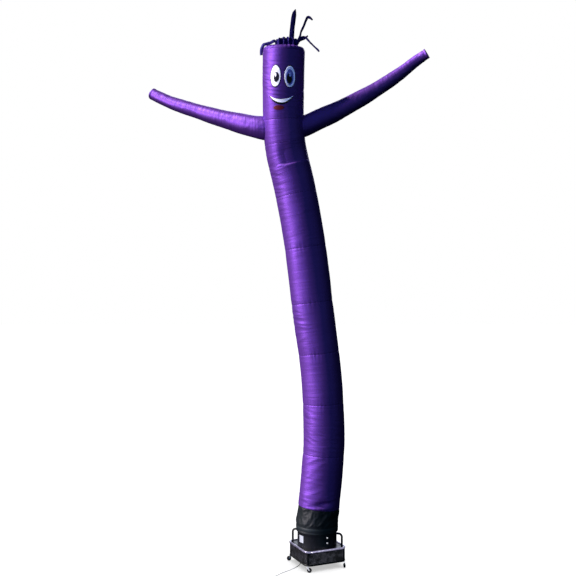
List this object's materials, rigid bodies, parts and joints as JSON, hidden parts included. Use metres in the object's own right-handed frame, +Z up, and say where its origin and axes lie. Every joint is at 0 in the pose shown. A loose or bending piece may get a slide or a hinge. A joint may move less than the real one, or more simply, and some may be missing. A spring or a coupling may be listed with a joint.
{
  "type": "inflatable air dancer on a blower base",
  "caption": "Tall cloth tube figure with two open arms, a drawn face and hair strips, held up by a caster-mounted fan housing with a power cord.",
  "frame": {"origin": "on the floor, under the middle of the figure and blower seen from above, without the cord", "axes": "+Z up along the tube figure, -Y to the side that the face and the picture look to, +X to the viewer's right"},
  "size_m": [3.3031, 1.3971, 6.2409],
  "materials": {
    "purple_cloth": "thin woven polyester, soft sheen",
    "crown_cloth": "gathered woven polyester",
    "hair_cloth": "dark cut cloth strips",
    "sleeve_cloth": "coated black cloth",
    "strap_webbing": "woven webbing",
    "drum_shell": "satin moulded",
    "hoop_paint": "glossy dark grey",
    "frame_steel": "black powder coat",
    "guard_mesh": "black wire mesh",
    "handle_paint": "black satin paint",
    "pale_plate": "plain pale label stock",
    "zinc": "zinc plated",
    "wheel_rubber": "matte",
    "cord_jacket": "smooth grey jacket",
    "plug_plastic": "moulded"
  },
  "bodies": {
    "figure_and_blower": {"body_panel_1": "purple_cloth", "body_panel_2": "purple_cloth", "body_panel_3": "purple_cloth", "body_panel_4": "purple_cloth", "body_panel_5": "purple_cloth", "body_panel_6": "purple_cloth", "body_panel_7": "purple_cloth", "shoulder_panel": "purple_cloth", "head_panel": "purple_cloth", "crown": "crown_cloth", "arm_left": "purple_cloth", "arm_right": "purple_cloth", "hair_tall": "hair_cloth", "hair_hook": "hair_cloth", "hair_long": "hair_cloth", "hair_fork": "hair_cloth", "hair_arch": "hair_cloth", "hair_ruffle_front": "hair_cloth", "hair_ruffle_back": "hair_cloth", "sleeve": "sleeve_cloth", "strap": "strap_webbing", "fan_drum": "drum_shell", "deck": "frame_steel", "top_hoop": "hoop_paint", "bottom_rail": "frame_steel", "bottom_tray": "frame_steel", "side_guard": "guard_mesh", "post_left": "frame_steel", "post_front": "frame_steel", "post_right": "frame_steel", "post_back": "frame_steel", "handle_left": "handle_paint", "handle_right": "handle_paint", "rating_plate": "pale_plate", "drum_bolt_1": "zinc", "drum_bolt_2": "zinc", "caster_mount_left": "zinc", "caster_mount_front": "zinc", "caster_mount_right": "zinc", "caster_mount_back": "zinc", "cord_gland": "plug_plastic", "cord_tube": "cord_jacket", "cord_coil": "cord_jacket", "cord_plug": "plug_plastic"},
    "swivel_left": {"caster_fork_left": "zinc"},
    "wheel_left": {"caster_wheel_left": "wheel_rubber"},
    "swivel_front": {"caster_fork_front": "zinc"},
    "wheel_front": {"caster_wheel_front": "wheel_rubber"},
    "swivel_right": {"caster_fork_right": "zinc"},
    "wheel_right": {"caster_wheel_right": "wheel_rubber"},
    "swivel_back": {"caster_fork_back": "zinc"},
    "wheel_back": {"caster_wheel_back": "wheel_rubber"}
  },
  "joints": [
    {"name": "left_swivel", "type": "hinge", "parent": "figure_and_blower", "child": "swivel_left", "pos_m": [0.07596, -0.08021, 0.057], "axis": [0, 0, 1], "continuous": true},
    {"name": "left_roll", "type": "hinge", "parent": "swivel_left", "child": "wheel_left", "pos_m": [0.05626, -0.08368, 0.026], "axis": [0.1736, -0.9848, 0], "continuous": true},
    {"name": "front_swivel", "type": "hinge", "parent": "figure_and_blower", "child": "swivel_front", "pos_m": [0.26021, -0.49404, 0.057], "axis": [0, 0, 1], "continuous": true},
    {"name": "front_roll", "type": "hinge", "parent": "swivel_front", "child": "wheel_front", "pos_m": [0.27977, -0.4982, 0.026], "axis": [0.2079, 0.9781, 0], "continuous": true},
    {"name": "right_swivel", "type": "hinge", "parent": "figure_and_blower", "child": "swivel_right", "pos_m": [0.67404, -0.30979, 0.057], "axis": [0, 0, 1], "continuous": true},
    {"name": "right_roll", "type": "hinge", "parent": "swivel_right", "child": "wheel_right", "pos_m": [0.67751, -0.32949, 0.026], "axis": [0.9848, 0.1736, 0], "continuous": true},
    {"name": "back_swivel", "type": "hinge", "parent": "figure_and_blower", "child": "swivel_back", "pos_m": [0.48979, 0.10404, 0.057], "axis": [0, 0, 1], "continuous": true},
    {"name": "back_roll", "type": "hinge", "parent": "swivel_back", "child": "wheel_back", "pos_m": [0.49979, 0.12136, 0.026], "axis": [-0.866, 0.5, 0], "continuous": true}
  ]
}
